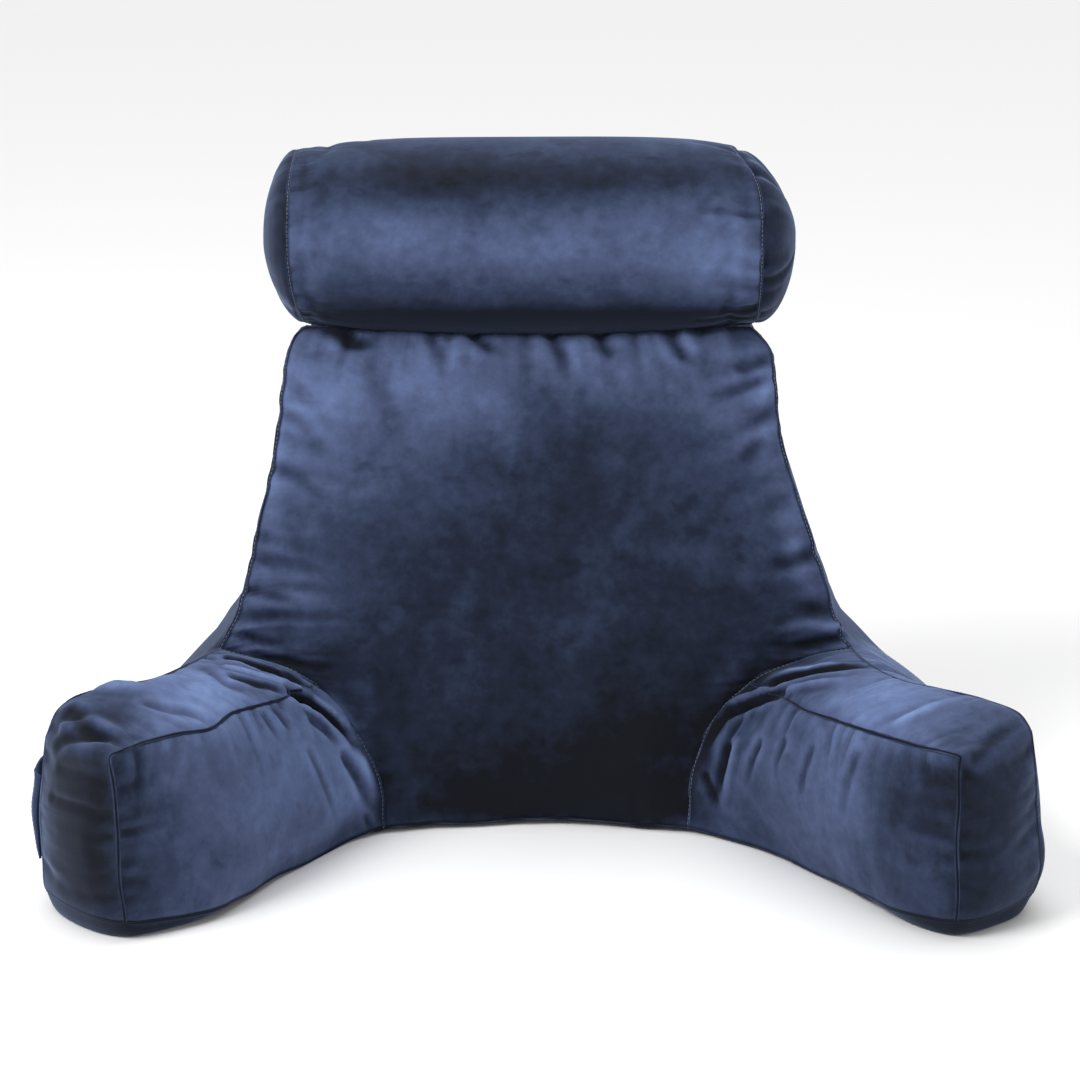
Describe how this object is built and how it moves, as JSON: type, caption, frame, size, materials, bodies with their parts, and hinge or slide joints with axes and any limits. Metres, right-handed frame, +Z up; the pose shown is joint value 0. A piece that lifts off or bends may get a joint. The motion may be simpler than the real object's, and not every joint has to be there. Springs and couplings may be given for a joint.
{
  "type": "reading pillow with arms",
  "caption": "Filled velvet backrest cushion with splayed arm rests, a round neck roll on top and a patch pocket on the outside of an arm.",
  "frame": {"origin": "middle of the whole pillow's bounding box at the level of its flat base", "axes": "+Z up, -Y towards the sitter (the way the arms point), +X along the pillow's width to the sitter's left hand as they lean back; the neck roll lies along X"},
  "size_m": [0.722, 0.433, 0.5095],
  "materials": {
    "cover": "short-pile navy velvet, filled",
    "roll_cover": "short-pile navy velvet, filled, its nap a little lighter",
    "pocket": "short-pile navy velvet, one sheet"
  },
  "bodies": {
    "root": {"backrest": "cover", "arm_left": "cover", "arm_right": "cover", "neck_roll": "roll_cover", "neck_roll_end_left": "roll_cover", "neck_roll_end_right": "roll_cover", "side_pocket": "pocket"}
  },
  "joints": []
}
